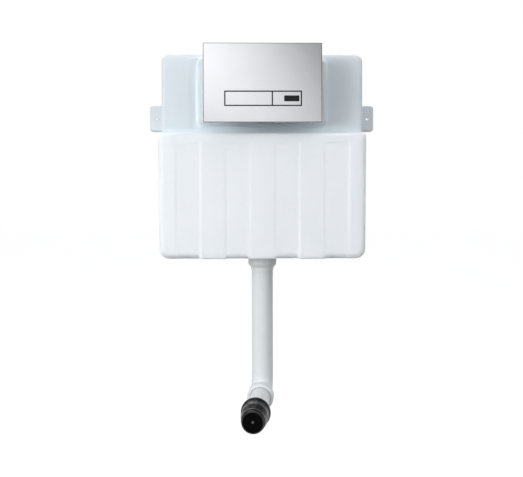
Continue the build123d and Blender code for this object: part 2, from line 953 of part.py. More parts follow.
def ahead(profile):
    """A closed (distance ahead of the pipe axis, radius) outline, revolved about the outlet's level axis."""
    outline = make_face(Polyline(*[(radius, distance) for distance, radius in profile], close=True))
    solid = revolve(Plane.XY * outline, Axis.Y)
    facing_front = Rot(0, 0, 180) * solid
    return Pos(0, pipe_axis_y, pipe_turn_z) * Rot(0, 0, outlet_turn) * facing_front


def flush_pipe():
    """A long elbow: the straight drop, a quarter bend and the socket for the spigot."""
    straight_end = pipe_bend_radius + 2
    path = FilletPolyline(
        (0, 0, tank_bottom - pipe_top),
        (0, 0, pipe_turn_z),
        (0, -straight_end, pipe_turn_z),
        radius=pipe_bend_radius,
    )
    start = Plane(origin=path @ 0, z_dir=path % 0)
    elbow = sweep(start * Circle(pipe_radius), path=path)
    bore = sweep(start * Circle(pipe_radius - pipe_wall), path=path)
    place = Pos(0, pipe_axis_y, 0) * Rot(0, 0, outlet_turn)
    socket_back = bell_mouth - bell_length
    socket = ahead(
        [
            (socket_back - 3, 0),
            (socket_back - 3, pipe_radius),
            (socket_back, bell_radius - 1.2),
            (socket_back + 2, bell_radius),
            (bell_mouth - 0.8, bell_radius),
            (bell_mouth, bell_radius - 0.8),
            (bell_mouth, 0),
        ]
    )
    socket_bore = ahead(
        [
            (straight_end - 2, 0),
            (straight_end - 2, pipe_radius - pipe_wall),
            (straight_end, pan_spigot_radius + 0.4),
            (seal_groove_back, pan_spigot_radius + 0.4),
            (seal_groove_back, seal_groove_radius),
            (seal_groove_front, seal_groove_radius),
            (seal_groove_front, pan_spigot_radius + 0.9),
            (bell_mouth + 1, pan_spigot_radius + 0.9),
            (bell_mouth + 1, 0),
        ]
    )
    return (place * elbow + socket) - place * bore - socket_bore


def socket_seal():
    return ahead(
        [
            (seal_groove_back, pan_spigot_radius),
            (seal_groove_back, seal_groove_radius),
            (seal_groove_front, seal_groove_radius),
            (seal_groove_front, pan_spigot_radius),
        ]
    )


def flush_spigot():
    """The short straight tube between the flush pipe's socket and the pan connector."""
    return ahead(
        [
            (spigot_back, pan_spigot_radius - pipe_wall),
            (spigot_back, pan_spigot_radius - 0.8),
            (spigot_back + 2, pan_spigot_radius),
            (spigot_front, pan_spigot_radius),
            (spigot_front, pan_spigot_radius - pipe_wall),
        ]
    )


def pan_connector():
    """The rubber cone that seals in the pan: a rear rim, a straight band, a taper and a beaded nose."""
    mouth = plug_radius + fit_gap
    return ahead(
        [
            (connector_back, pan_spigot_radius),
            (connector_back, pan_spigot_radius + 2.6),
            (rim_back - 3.5, pan_spigot_radius + 4.5),
            (rim_back, rim_radius),
            (rim_front, rim_radius),
            (rim_front + 1, rim_radius - 1.9),
            (band_back, pan_inlet_radius),
            (band_front, pan_inlet_radius),
            (bead_back - 1, bead_radius - 0.6),
            (bead_back, bead_radius),
            (bead_front, bead_radius),
            (bead_front + 0.4, lip_groove_radius),
            (lip_back - 0.4, lip_groove_radius),
            (lip_back, lip_radius),
            (connector_nose - 1.4, lip_radius),
            (connector_nose, lip_radius - 1.4),
            (connector_nose, mouth),
            (spigot_front, mouth),
            (spigot_front, pan_spigot_radius),
        ]
    )


def dust_plug():
    """The cap that keeps the nose closed until it is fitted, with a nib to pull it by."""
    face = connector_nose - plug_recess
    nib_front = face + 2.6
    return ahead(
        [
            (face - plug_depth, plug_radius - plug_wall),
            (face - plug_depth, plug_radius),
            (face, plug_radius),
            (face, nib_radius),
            (nib_front, nib_radius - 1.2),
            (nib_front, 0),
            (face - plug_wall, 0),
            (face - plug_wall, plug_radius - plug_wall),
        ]
    )


# Water supply


def hexagon(x, y, across_flats, z_low, z_high):
    outline = RegularPolygon(across_flats / 2, 6, major_radius=False)
    return Pos(x, y, z_low) * extrude(outline, amount=z_high - z_low)


def inlet_nipple():
    """The brass connection through the tank's top, with its clamping flange inside."""
    flange_top = tank_top - tank_wall - inlet_washer_thickness
    flange_low = flange_top - inlet_flange_thickness
    groove_radius = inlet_radius - 0.9
    return turned(
        [
            (inlet_bore, inlet_foot),
            (inlet_radius, inlet_foot),
            (inlet_radius, flange_low),
            (inlet_flange_radius, flange_low),
            (inlet_flange_radius, flange_top),
            (inlet_radius, flange_top),
            (inlet_radius, inlet_undercut),
            (groove_radius, inlet_undercut),
            (groove_radius, inlet_undercut + 1),
            (inlet_radius, inlet_undercut + 1),
            (inlet_radius, inlet_top - 1),
            (inlet_radius - 1, inlet_top),
            (inlet_bore, inlet_top),
        ],
        inlet_x,
        inlet_y,
    )


def inlet_washer():
    ceiling = tank_top - tank_wall
    low = ceiling - inlet_washer_thickness
    ring = post(inlet_x, inlet_y, inlet_flange_radius, low, ceiling)
    return ring - post(inlet_x, inlet_y, inlet_radius, low - 1, ceiling + 1)


def inlet_locknut():
    high = tank_top + locknut_height
    body = hexagon(inlet_x, inlet_y, locknut_flats, tank_top, high)
    return body - post(inlet_x, inlet_y, inlet_radius, tank_top - 1, high + 1)


def blanking_plug():
    """What closes the second inlet hole on the other side."""
    head_low = tank_top + 3
    body = post(-inlet_x, inlet_y, inlet_hole_radius, tank_top - 9, tank_top)
    body += post(-inlet_x, inlet_y, inlet_flange_radius, tank_top, head_low)
    return body + hexagon(-inlet_x, inlet_y, blanking_plug_flats, head_low, head_low + blanking_plug_head)


def stop_valve_body():
    """The service valve under the inlet, its outlet pointing down to the hose."""
    body = turned(
        [
            (stop_valve_bore, hose_top),
            (hose_radius + 2, hose_top),
            (hose_radius + 2, hose_top + 6),
            (stop_valve_radius, hose_top + 8),
            (stop_valve_radius, inlet_foot + 10),
            (inlet_radius, inlet_foot + 10),
            (inlet_radius, inlet_foot),
            (inlet_bore, inlet_foot),
            (stop_valve_bore, inlet_foot - 10),
        ],
        inlet_x,
        inlet_y,
    )
    body += pin(inlet_x, stop_knob_z, stop_boss_radius, stop_boss_front, inlet_y - 6)
    spindle_bore = stem_radius + 0.05
    return body - pin(inlet_x, stop_knob_z, spindle_bore, stop_boss_front - 1, stop_boss_front + 10)


def stop_valve_knob():
    """A lobed hand knob on a short spindle."""
    back = stop_boss_front - 0.5
    front = back - stop_knob_length
    body = pin(inlet_x, stop_knob_z, stop_knob_radius, front, back)
    lobes = 6
    hollow_centre = stop_knob_radius + 2
    for turn in range(lobes):
        angle = math.radians(turn * 360 / lobes)
        x = inlet_x + hollow_centre * math.cos(angle)
        z = stop_knob_z + hollow_centre * math.sin(angle)
        body -= pin(x, z, 4, front - 1, back + 0.5)
    slot = rectangle(inlet_x - 7, inlet_x + 7, stop_knob_z - 1, stop_knob_z + 1)
    body -= slab(slot, front - 1, front + 1.5)
    return body + pin(inlet_x, stop_knob_z, stem_radius, back - 0.5, stop_boss_front + 9)


def supply_hose():
    """A braided hose that hangs in one wide U between the service valve and the fill valve."""
    bend = (inlet_x - hose_end_x) / 2
    middle = (inlet_x + hose_end_x) / 2
    drop = Line((inlet_x, inlet_y, hose_top), (inlet_x, inlet_y, hose_end_z))
    turn = ThreePointArc(
        (inlet_x, inlet_y, hose_end_z),
        (middle, inlet_y, hose_end_z - bend),
        (hose_end_x, inlet_y, hose_end_z),
    )
    path = Wire([drop, turn])
    start = Plane(origin=path @ 0, z_dir=path % 0)
    return sweep(start * Circle(hose_radius), path=path)


def fill_valve_body():
    """The fill valve's shank and side arm, with the hose connection under the arm."""
    arm_half = 12
    body = post(fill_x, fill_y, fill_shank_radius, fill_foot, fill_head_low)
    arm = block(
        fill_x - fill_shank_radius,
        hose_end_x + arm_half,
        fill_y - arm_half,
        fill_y + arm_half,
        fill_head_low,
        fill_head_high,
    )
    body += fillet(arm.edges().filter_by(Axis.Z), 5)
    body += post(hose_end_x, fill_y, hose_radius + 2, hose_end_z, fill_head_low)
    body -= post(fill_x, fill_y, fill_shank_radius - 3, fill_foot - 1, fill_head_low - 10)
    across = (fill_x - 2 * fill_shank_radius, fill_x + 2 * fill_shank_radius)
    for z in (fill_foot + 8, fill_foot + 22):
        body -= block(*across, fill_y - 4, fill_y + 4, z, z + 8)
    ear_half = 4
    for side in (-1, 1):
        along = sorted((fill_y + side * 6.5, fill_y + side * 10))
        body += block(
            float_pivot_x - ear_half,
            fill_x - 8,
            *along,
            float_pivot_z - ear_half,
            float_pivot_z + ear_half,
        )
    return body - pin(float_pivot_x, float_pivot_z, float_pin_radius, fill_y - arm_half, fill_y + arm_half)


def fill_valve_head():
    """The screw cap over the fill valve's diaphragm."""
    top = fill_head_high + fill_cap_height
    body = post(fill_cap_x, fill_y, fill_cap_radius, fill_head_high, top)
    body = chamfer(body.faces().sort_by(Axis.Z)[-1].edges(), 1.5)
    groove_centre = fill_cap_radius + 1.2
    for turn in range(fill_cap_ribs):
        angle = math.radians(turn * 360 / fill_cap_ribs)
        x = fill_cap_x + groove_centre * math.cos(angle)
        y = fill_y + groove_centre * math.sin(angle)
        body -= post(x, y, 2, fill_head_high - 1, top + 1)
    return body


def float_lever_pin():
    half = 11
    return pin(float_pivot_x, float_pivot_z, float_pin_radius, fill_y - half, fill_y + half)


def float_lever():
    """The arm that the float lifts, at rest with the tank empty and its far end low."""
    half = 5.5
    low = float_pivot_z - 1.5
    high = float_pivot_z + 1.5
    tip = float_pivot_x - float_arm
    body = pin(float_pivot_x, float_pivot_z, 4, fill_y - half, fill_y + half)
    body += block(tip + 5, float_pivot_x, fill_y - half, fill_y + half, low, high)
    body += block(tip - 8, tip + 6, fill_y - 6, fill_y + 6, low, high)
    body -= block(tip - 4.4, tip + 4.4, fill_y - 3, fill_y + 3, low - 1, high + 1)
    body -= pin(float_pivot_x, float_pivot_z, float_pin_radius + 0.05, fill_y - 8, fill_y + 8)
    return body.rotate(Axis((float_pivot_x, 0, float_pivot_z), (0, 1, 0)), -float_swing)


def fill_float():
    """An open-bottomed float cup with its rod and a guide eye round the shank."""
    wide = float_half_width
    plan = (float_rod_x - wide, float_rod_x + wide, fill_y - wide, fill_y + wide)
    body = block(*plan, float_low, float_high)
    body = fillet(body.edges().filter_by(Axis.Z), 6)
    body = fillet(body.faces().sort_by(Axis.Z)[-1].edges(), 2)
    inside = wide - float_wall
    body -= block(
        float_rod_x - inside,
        float_rod_x + inside,
        fill_y - inside,
        fill_y + inside,
        float_low - 1,
        float_high - float_wall,
    )
    eye_low = float_high - 12
    eye_high = eye_low + float_eye_height
    strut_end = fill_x - float_eye_radius + 2
    body += block(float_rod_x + inside, strut_end, fill_y - 4, fill_y + 4, eye_low, eye_high)
    body += post(fill_x, fill_y, float_eye_radius, eye_low, eye_high)
    body -= post(fill_x, fill_y, fill_shank_radius + slide_play, eye_low - 1, eye_high + 1)
    tip_z = float_pivot_z - float_travel / 2
    body += post(float_rod_x, fill_y, 2.2, float_high - 1, tip_z + 8)
    collar_thickness = 3.1
    for collar_low in (tip_z - 6.5, tip_z + 3.4):
        body += post(float_rod_x, fill_y, 5, collar_low, collar_low + collar_thickness)
    return body


def fill_valve_bracket():
    """The clip that holds the fill valve's shank off the tank's rear wall."""
    back = -tank_wall
    front = back - 3
    body = block(fill_x - 20, fill_x + 20, front, back, bracket_low - 12, bracket_high + 12)
    body += block(fill_x - 5, fill_x + 5, fill_y + fill_shank_radius, front, bracket_low, bracket_high)
    body += post(fill_x, fill_y, fill_shank_radius + 3, bracket_low, bracket_high)
    return body - post(fill_x, fill_y, fill_shank_radius, bracket_low - 1, bracket_high + 1)


def full_push_rod():
    return push_rod(full_middle_x)


def half_push_rod():
    return push_rod(half_middle_x)


def full_button_spring():
    return button_spring(full_middle_x)


def half_button_spring():
    return button_spring(half_middle_x)


makers = (
    tank_shell,
    service_shroud,
    shroud_screws,
    plate_frame,
    frame_studs,
    inner_cover,
    flush_plate,
    button_bezel,
    full_flush_button,
    half_flush_button,
    button_insert,
    full_button_spring,
    half_button_spring,
    full_push_rod,
    half_push_rod,
    actuator_bracket,
    lever_axle,
    full_lever,
    half_lever,
    full_lift_rod,
    half_lift_rod,
    outlet_gasket,
    valve_seat,
    outlet_washer,
    outlet_nut,
    pipe_seal,
    valve_basket,
    overflow_tube,
    valve_seal,
    half_flush_sleeve,
    flush_pipe,
    socket_seal,
    flush_spigot,
    pan_connector,
    dust_plug,
    inlet_nipple,
    inlet_washer,
    inlet_locknut,
    blanking_plug,
    stop_valve_body,
    stop_valve_knob,
    supply_hose,
    fill_valve_body,
    fill_valve_head,
    float_lever_pin,
    float_lever,
    fill_float,
    fill_valve_bracket,
)

os.makedirs("parts", exist_ok=True)
for maker in makers:
    made = maker()
    if isinstance(made, list):
        made = Compound(children=made)
    export_step(made, f"parts/{maker.__name__}.step")
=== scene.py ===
import json
import math

import bpy
from mathutils import Matrix, Vector


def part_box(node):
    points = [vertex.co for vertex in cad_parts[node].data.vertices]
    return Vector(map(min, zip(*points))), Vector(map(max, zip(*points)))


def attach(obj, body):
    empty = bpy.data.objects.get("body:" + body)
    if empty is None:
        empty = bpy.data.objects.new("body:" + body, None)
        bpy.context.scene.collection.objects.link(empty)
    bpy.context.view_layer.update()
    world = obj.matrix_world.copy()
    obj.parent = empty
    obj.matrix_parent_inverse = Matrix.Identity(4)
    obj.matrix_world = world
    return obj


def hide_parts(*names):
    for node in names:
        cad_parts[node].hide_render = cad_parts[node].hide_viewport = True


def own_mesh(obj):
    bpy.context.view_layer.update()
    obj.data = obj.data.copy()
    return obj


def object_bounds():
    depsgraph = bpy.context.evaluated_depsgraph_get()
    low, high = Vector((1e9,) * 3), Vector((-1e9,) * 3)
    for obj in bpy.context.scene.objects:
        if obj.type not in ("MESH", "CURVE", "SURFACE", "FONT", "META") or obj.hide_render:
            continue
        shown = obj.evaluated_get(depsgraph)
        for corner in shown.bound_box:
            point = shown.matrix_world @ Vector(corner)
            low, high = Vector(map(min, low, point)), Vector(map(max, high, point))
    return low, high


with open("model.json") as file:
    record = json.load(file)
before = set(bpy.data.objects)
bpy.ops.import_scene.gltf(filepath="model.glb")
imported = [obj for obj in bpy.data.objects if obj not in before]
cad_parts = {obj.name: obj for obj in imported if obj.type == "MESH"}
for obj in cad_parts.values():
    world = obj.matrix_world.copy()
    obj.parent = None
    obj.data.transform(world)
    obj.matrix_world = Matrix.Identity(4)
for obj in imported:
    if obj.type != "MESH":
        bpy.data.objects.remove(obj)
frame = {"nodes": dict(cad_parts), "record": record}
cad_low, cad_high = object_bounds()
nodes = frame["nodes"]

# The photograph's width, in pixels, and the camera that fits it, in metres and degrees
PHOTO_WIDTH = 523
CAMERA_PLACE = (-0.0134, -1.2867, -0.2017)
CAMERA_PITCH = -0.514
CAMERA_YAW = -0.553
CAMERA_ROLL = -0.094
FOCAL_PIXELS = 536.9
SHIFT_PIXELS = -30.0
SENSOR_WIDTH = 36.0

# The tank's half widths at its floor, below its shelf and above it, and the shelf's height
TANK_HALF_WIDTHS = (0.222, 0.224, 0.2225)
SHELF_Z = -0.050

# How far the pan connector is turned to the left of straight ahead, in degrees
PIPE_TURN = 6.5

# The floor: how far it lies below the pan connector, how it glows to the camera, the part of it that takes
# shadows there, and its colour to the light that it gives back
FLOOR_DROP = 0.20
FLOOR_REACH = 12.0
FLOOR_GLOW = 0.86
FLOOR_SHADOWED = 0.16
FLOOR_BOUNCE = 0.20

# The key light, a large soft lamp from the left: degrees to the left and up, metres and watts
LAMP_AIM = (0, -0.05, -0.1)
KEY_BEARING = 48
KEY_HEIGHT = 8
KEY_DISTANCE = 3.2
KEY_SIZE = 2.0
KEY_WATTS = 64

# The world's fill on dull surfaces: even, with more of it from above and from the front, and less from the
# sides
FILL_COLOUR = (0.985, 0.99, 1.0, 1)
FILL_EVEN = 1.09
FILL_ABOVE = 0.08
FILL_LEFT = -1.00
FILL_RIGHT = -0.40
FILL_FRONT = 0.12
FRONT_FOCUS = 6.0

# What shiny surfaces mirror: a studio with a soft box in front, whose middle leans to the left with height
# and which falls off to its sides down to a grey card, a white room behind and a dark ceiling round a
# lantern with one gap
BOX_PEAK = 0.546
BOX_PEAK_RISE = 3.36
BOX_MIDDLE = 0.130
BOX_LEAN = -1.19
BOX_FALL = 11.7
CARD_LEVEL = 0.25
ROOM_EDGES = (-0.10, 0.10)
ROOM_LEVEL = 0.50
CEILING_EDGES = (0.36, 0.55)
CEILING_LEVEL = 0.06
LANTERN_EDGES = (0.62, 0.80)
LANTERN_LEVEL = 1.40
GAP_MIDDLE = 0.28
GAP_EDGES = (0.06, 0.20)
GAP_LEVEL = 0.25

WHITE = (1.0, 1.0, 1.0, 1.0)
UP = Vector((0.0, 0.0, 1.0))
RIGHT = Vector((1.0, 0.0, 0.0))


def srgb(red, green, blue):
    """Linear colour for an sRGB colour given in 0 to 255."""
    def linear(value):
        value /= 255
        return value / 12.92 if value <= 0.04045 else ((value + 0.055) / 1.055) ** 2.4
    return (linear(red), linear(green), linear(blue), 1.0)


def grey(level):
    """A linear grey."""
    return (level, level, level, 1.0)


def shade(colour, factor):
    """A colour made darker by a factor."""
    return tuple(channel * factor for channel in colour[:3]) + (1.0,)


# The flush plate's chrome, which its buttons share
PLATE_COLOUR = srgb(231, 232, 236)
PLATE_ROUGHNESS = 0.16
PLATE_WEAR = 0.03


class Graph:
    """A node tree, and short ways to add to it."""

    def __init__(self, tree):
        self.tree = tree

    def node(self, kind, **settings):
        """A new node, with its settings made in the order given."""
        made = self.tree.nodes.new(kind)
        for name, value in settings.items():
            setattr(made, name, value)
        return made

    def feed(self, socket, value):
        """Links a socket to an output, or sets it to a number or a colour."""
        if isinstance(value, bpy.types.NodeSocket):
            self.tree.links.new(value, socket)
        else:
            socket.default_value = value

    def reckon(self, operation, *values):
        """A Math node's result, from outputs or numbers."""
        made = self.node("ShaderNodeMath", operation=operation)
        for socket, value in zip(made.inputs, values):
            self.feed(socket, value)
        return made.outputs["Value"]

    def ramp(self, value, low, high, first=0.0, last=1.0, kind="LINEAR"):
        """A number that goes from first to last as value goes from low to high."""
        made = self.node("ShaderNodeMapRange", interpolation_type=kind)
        self.feed(made.inputs["Value"], value)
        for name, setting in zip(("From Min", "From Max", "To Min", "To Max"), (low, high, first, last)):
            self.feed(made.inputs[name], setting)
        return made.outputs["Result"]

    def shader(self, kind, colour, strength=None):
        """A plain shader of one colour."""
        made = self.node(kind)
        self.feed(made.inputs["Color"], colour)
        if strength is not None:
            self.feed(made.inputs["Strength"], strength)
        return made.outputs[0]

    def join(self, kind, *values):
        """The result of a node that mixes or adds shaders, from its inputs in their order."""
        made = self.node(kind)
        for socket, value in zip(made.inputs, values):
            self.feed(socket, value)
        return made.outputs["Shader"]


class Material(Graph):
    """A node material round one Principled shader, whose other inputs are named with _ for a space."""

    def __init__(self, name, colour, roughness, **others):
        self.data = bpy.data.materials.new(name)
        self.data.use_nodes = True
        super().__init__(self.data.node_tree)
        self.principled = self.tree.nodes["Principled BSDF"]
        self.coordinates = self.node("ShaderNodeTexCoord").outputs
        self.apply("Base Color", colour)
        self.apply("Roughness", roughness)
        for other, value in others.items():
            self.apply(other.replace("_", " "), value)

    def apply(self, name, value):
        """Gives the shader's input an output, a number or a colour."""
        self.feed(self.principled.inputs[name], value)

    def axes(self):
        """The piece's own coordinates, one output for each axis."""
        split = self.node("ShaderNodeSeparateXYZ")
        self.feed(split.inputs["Vector"], self.coordinates["Object"])
        return split.outputs

    def noise(self, scale, detail):
        """Noise in the piece's own coordinates; scale is in cells per metre."""
        made = self.node("ShaderNodeTexNoise")
        self.feed(made.inputs["Vector"], self.coordinates["Object"])
        self.feed(made.inputs["Scale"], scale)
        self.feed(made.inputs["Detail"], detail)
        return made.outputs["Fac"]

    def blend(self, factor, first, second, kind="MIX"):
        """Two colours blended by a factor, which is how much of the second there is."""
        made = self.node("ShaderNodeMix", data_type="RGBA", blend_type=kind)
        for name, value in zip(("Factor", "A", "B"), (factor, first, second)):
            self.feed(made.inputs[name], value)
        return made.outputs["Result"]

    def mottle(self, noise, first, second, edges=(0.3, 0.7)):
        """A colour that runs from the first to the second as noise goes from one edge to the other."""
        return self.blend(self.ramp(noise, *edges), first, second)

    def roughen(self, noise, low, high):
        """Varies the roughness between low and high with noise."""
        self.apply("Roughness", self.ramp(noise, 0.0, 1.0, low, high))

    def bump(self, height, depth, edge=0.0):
        """Raises the surface by height times depth, in metres, and softens edges by a radius of edge."""
        made = self.node("ShaderNodeBump")
        self.feed(made.inputs["Distance"], depth)
        self.feed(made.inputs["Height"], height)
        if edge:
            softened = self.node("ShaderNodeBevel")
            self.feed(softened.inputs["Radius"], edge)
            self.feed(made.inputs["Normal"], softened.outputs["Normal"])
        self.apply("Normal", made.outputs["Normal"])


def tank_plastic():
    """Blow-moulded polyethylene: pale blue-white, faintly clouded, with a soft orange peel, and painted
    shade that darkens it above the shelf and on its lugs.
    """
    lower = srgb(240, 244, 247)
    # The upper chamber's darker colour is painted shade
    painted_shade_upper = srgb(218, 226, 231)
    painted_lug_shade = (0.82, 0.81, 0.80, 1.0)
    cloud_tone = (0.965, 0.975, 0.985, 1.0)
    light_spread = 0.022
    made = Material("tank_plastic", lower, roughness=0.42)
    made.principled.subsurface_method = "BURLEY"
    made.apply("Subsurface Weight", 1.0)
    made.apply("Subsurface Scale", light_spread)
    made.apply("Subsurface Radius", (1.0, 1.0, 1.0))
    x, y, z = made.axes()

    # The painted shade of the upper chamber, which stands recessed behind the plate, starts at the shelf,
    # sharply in front and softly at the back, where there is no shelf
    shelf_back = -0.075
    front_blur = 0.006
    blur_growth = 1.5
    behind = made.reckon("MAXIMUM", made.reckon("SUBTRACT", y, shelf_back), 0.0)
    blur = made.reckon("MULTIPLY_ADD", behind, blur_growth, front_blur)
    above = made.reckon("DIVIDE", made.reckon("SUBTRACT", z, SHELF_Z), blur)
    height = made.ramp(above, -1.0, 1.0, kind="SMOOTHSTEP")
    tone_with_painted_shade = made.blend(height, lower, painted_shade_upper)

    # The lugs are thin, and a painted shade makes them darker still
    lug_start = TANK_HALF_WIDTHS[2] - 0.001
    lug_full = TANK_HALF_WIDTHS[2] + 0.003
    lug_shade_mask = made.ramp(made.reckon("ABSOLUTE", x), lug_start, lug_full)
    tone_with_painted_shade = made.blend(made.reckon("MULTIPLY", lug_shade_mask, height), tone_with_painted_shade, painted_lug_shade, kind="MULTIPLY")

    clouds = made.noise(scale=9.0, detail=4.0)
    made.apply("Base Color", made.blend(1.0, tone_with_painted_shade, made.mottle(clouds, cloud_tone, WHITE), kind="MULTIPLY"))
    made.roughen(clouds, low=0.36, high=0.50)
    made.bump(made.noise(scale=420.0, detail=2.0), depth=0.00005, edge=0.006)
    return made.data


def moulded(name, colour, roughness=0.35, **others):
    """Injection-moulded plastic with a slight flow mottle and a fine grain."""
    made = Material(name, colour, roughness, **others)
    flow = made.noise(scale=35.0, detail=3.0)
    made.apply("Base Color", made.mottle(flow, shade(colour, 0.96), colour))
    made.roughen(flow, low=roughness - 0.05, high=roughness + 0.06)
    made.bump(made.noise(scale=600.0, detail=2.0), depth=0.00005)
    return made.data


def metal_surface(name, colour, roughness, wear):
    """A metal's material, with a fine grain that its roughness follows, and its faintly mottled colour."""
    made = Material(name, colour, roughness, Metallic=1.0)
    grain = made.noise(scale=900.0, detail=3.0)
    made.roughen(grain, low=roughness - wear, high=roughness + wear)
    made.bump(grain, depth=0.00001)
    mottled = made.mottle(made.noise(scale=30.0, detail=3.0), shade(colour, 0.97), colour)
    made.apply("Base Color", mottled)
    return made, mottled


def metal(name, colour, roughness, wear=0.06):
    """A metal of one colour all over."""
    made, _ = metal_surface(name, colour, roughness, wear)
    return made.data


def plate_chrome():
    """The plate's satin chrome, with painted shade along the rim of its face and on its sides, which stands
    in for dark reflections on its rounded edges.
    """
    painted_rim_shade = 0.22
    rim_width = 0.0015
    rim_fade = 0.0004
    side_start = 0.001
    side_full = 0.002
    painted_side_share = 0.35
    low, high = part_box("flush_plate")
    made, face = metal_surface("plate_chrome", PLATE_COLOUR, PLATE_ROUGHNESS, PLATE_WEAR)
    x, y, z = made.axes()
    reaches = []
    for place, near, far in ((x, low.x, high.x), (z, low.z, high.z)):
        aside = made.reckon("ABSOLUTE", made.reckon("SUBTRACT", place, (near + far) / 2))
        reaches.append(made.reckon("SUBTRACT", aside, (far - near) / 2 - rim_width))
    # Painted shade: a dark band round the face's rim, fading along the sides, in place of the edges' dark
    # reflections
    painted_rim_mask = made.ramp(made.reckon("MAXIMUM", *reaches), 0.0, rim_fade)
    painted_side_fade = made.ramp(y, low.y + side_start, low.y + side_full, 1.0, painted_side_share)
    painted_edge_shade = made.reckon("MULTIPLY", painted_rim_mask, painted_side_fade)
    made.apply("Base Color", made.blend(painted_edge_shade, face, shade(PLATE_COLOUR, painted_rim_shade)))
    return made.data


def plug_plastic():
    """The plug's dull black plastic, with a painted highlight: its nib is paler, standing in for a glint of
    light on it.
    """
    black = srgb(6, 6, 6)
    painted_nib_highlight = srgb(96, 96, 98)
    nib_start = 0.0022
    nib_full = 0.0012
    turn = math.radians(PIPE_TURN)
    ahead = Vector((-math.sin(turn), -math.cos(turn), 0.0))
    tip = max(vertex.co.dot(ahead) for vertex in nodes["dust_plug"].data.vertices)
    made = Material("plug_plastic", black, roughness=0.45, Specular_IOR_Level=0.03)
    along = made.node("ShaderNodeVectorMath", operation="DOT_PRODUCT")
    made.feed(along.inputs[0], made.coordinates["Object"])
    made.feed(along.inputs[1], ahead)
    # A painted highlight: the nib's tip is paler, in place of a glint
    nib_highlight_mask = made.ramp(along.outputs["Value"], tip - nib_start, tip - nib_full)
    made.apply("Base Color", made.blend(nib_highlight_mask, black, painted_nib_highlight))
    made.bump(made.noise(scale=600.0, detail=2.0), depth=0.00005)
    return made.data


def rubber():
    """Black rubber with a faint bloom."""
    made = Material("black_rubber", srgb(18, 18, 20), roughness=0.28)
    bloom = made.noise(scale=60.0, detail=4.0)
    mottled = made.mottle(bloom, srgb(14, 14, 16), srgb(26, 26, 28), edges=(0.35, 0.75))
    made.apply("Base Color", mottled)
    made.roughen(bloom, low=0.22, high=0.34)
    made.bump(made.noise(scale=900.0, detail=2.0), depth=0.00004)
    return made.data


def braid():
    """Woven steel wire: diagonal bands that cross, laid along the hose by its UV coordinates."""
    bands_round = 24.0
    bands_per_metre = 640.0
    made = Material("braid", srgb(150, 152, 156), roughness=0.35, Metallic=0.9)
    stretch = made.node("ShaderNodeMapping")
    made.feed(stretch.inputs["Scale"], (bands_round, bands_per_metre, 1.0))
    made.feed(stretch.inputs["Vector"], made.coordinates["UV"])
    slant = made.node("ShaderNodeMapping")
    made.feed(slant.inputs["Rotation"], (0.0, 0.0, math.radians(45)))
    made.feed(slant.inputs["Vector"], stretch.outputs["Vector"])
    weave = made.node("ShaderNodeTexChecker")
    made.feed(weave.inputs["Scale"], 1.0)
    made.feed(weave.inputs["Vector"], slant.outputs["Vector"])
    made.apply("Base Color", made.blend(weave.outputs["Fac"], srgb(110, 112, 116), srgb(178, 180, 184)))
    made.bump(weave.outputs["Fac"], depth=0.0003)
    return made.data


def added(name, data):
    """A new object in the scene, with the given mesh, lamp or camera."""
    made = bpy.data.objects.new(name, data)
    bpy.context.scene.collection.objects.link(made)
    return made


def mesh_piece(name, vertices, faces, slot, body, uvs=None):
    """A smooth mesh piece in the named slot's material, riding on a body; uvs has one pair a vertex."""
    mesh = bpy.data.meshes.new(name)
    mesh.from_pydata(vertices, [], faces)
    if uvs:
        layer = mesh.uv_layers.new(name="along")
        for loop in mesh.loops:
            layer.data[loop.index].uv = uvs[loop.vertex_index]
    mesh.shade_smooth()
    mesh.materials.append(materials[slot])
    piece = added(name, mesh)
    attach(piece, body)
    return piece


def skin(rings, looped=False):
    """Faces that join equal rings of vertices, closed by end caps or, if looped, in a loop."""
    size = len(rings[0])
    count = len(rings)
    faces = []
    for ring in range(count if looped else count - 1):
        near = ring * size
        far = (ring + 1) % count * size
        for spot in range(size):
            following = (spot + 1) % size
            faces.append((near + spot, near + following, far + following, far + spot))
    if not looped:
        faces.append(tuple(reversed(range(size))))
        faces.append(tuple(range((count - 1) * size, count * size)))
    return faces


def flat_list(rings):
    """The rings' vertices in one list."""
    return [vertex for ring in rings for vertex in ring]


def ring_round(centre, ahead, side, radius, sides):
    """A ring of vertices about a centre, square to ahead and starting from side."""
    other = ahead.cross(side)
    ring = []
    for spot in range(sides):
        angle = spot * math.tau / sides
        ring.append(centre + radius * (math.cos(angle) * side + math.sin(angle) * other))
    return ring


def round_rings(path, radius, sides):
    """Rings of vertices round a path of points, with the frame carried along it without twist."""
    rings = []
    side = None
    for index, point in enumerate(path):
        ahead = path[min(index + 1, len(path) - 1)] - path[max(index - 1, 0)]
        ahead.normalize()
        if side is None:
            side = ahead.orthogonal()
        side = (side - ahead * side.dot(ahead)).normalized()
        rings.append(ring_round(point, ahead, side, radius, sides))
    return rings


def button_spring(name, node):
    """A round-wire compression spring with closed ends, in place of its plain solid."""
    wire = 0.0006
    wire_sides = 8
    turns = 6
    closed_turns = 1
    steps_per_turn = 24
    low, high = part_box(node)
    coil = (high.x - low.x) / 2 - wire
    middle_x = (low.x + high.x) / 2
    middle_z = (low.z + high.z) / 2
    length = high.y - low.y - 2 * wire
    free_turns = turns - 2 * closed_turns
    closed_pitch = 2 * wire
    free_pitch = (length - 2 * closed_turns * closed_pitch) / free_turns
    path = []
    for step in range(turns * steps_per_turn + 1):
        turn = step / steps_per_turn
        closed = min(turn, closed_turns) + max(turn - (turns - closed_turns), 0.0)
        free = min(max(turn - closed_turns, 0.0), free_turns)
        across = middle_x + coil * math.cos(turn * math.tau)
        along = low.y + wire + closed * closed_pitch + free * free_pitch
        up = middle_z + coil * math.sin(turn * math.tau)
        path.append(Vector((across, along, up)))
    rings = round_rings(path, wire, wire_sides)
    piece = mesh_piece(name, flat_list(rings), skin(rings), "steel", "plate")
    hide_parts(node)
    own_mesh(piece)


